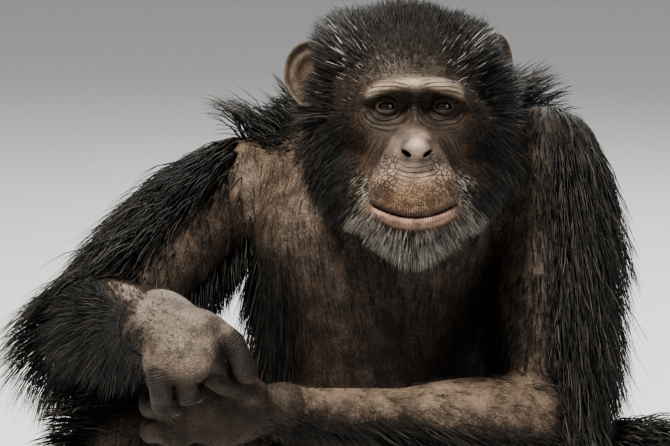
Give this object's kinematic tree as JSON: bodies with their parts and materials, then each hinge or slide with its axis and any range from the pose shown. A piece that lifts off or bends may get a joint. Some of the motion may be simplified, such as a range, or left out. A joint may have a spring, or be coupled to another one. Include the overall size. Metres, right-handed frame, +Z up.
{
  "type": "chimpanzee",
  "caption": "Life-size adult male chimpanzee, a still model: it sits hunched with its forearms over its knees and one hand laid over the other in front.",
  "frame": {"origin": "on the floor, in the flat under the rump that the animal sits on", "axes": "+Z up, -Y the way the animal faces, -X its right side"},
  "size_m": [0.7313, 0.6752, 0.7145],
  "materials": {
    "coat": "long, straight black hair with a grey sheen, white on the chin",
    "bare_skin": "dry, wrinkled, dark brown to grey skin",
    "eye": "wet, dark brown eye"
  },
  "bodies": {
    "root": {"head": "coat", "ear_right": "bare_skin", "ear_left": "bare_skin", "eye_right": "eye", "eye_left": "eye", "neck": "coat", "chest": "coat", "belly_and_seat": "coat", "upper_arm_right": "coat", "forearm_right": "coat", "palm_right": "bare_skin", "thumb_right": "bare_skin", "index_finger_right": "bare_skin", "middle_finger_right": "bare_skin", "ring_finger_right": "bare_skin", "little_finger_right": "bare_skin", "thigh_right": "coat", "shin_right": "coat", "foot_right": "bare_skin", "upper_arm_left": "coat", "forearm_left": "coat", "palm_left": "bare_skin", "thumb_left": "bare_skin", "index_finger_left": "bare_skin", "middle_finger_left": "bare_skin", "ring_finger_left": "bare_skin", "little_finger_left": "bare_skin", "thigh_left": "coat", "shin_left": "coat", "foot_left": "bare_skin"}
  },
  "joints": []
}
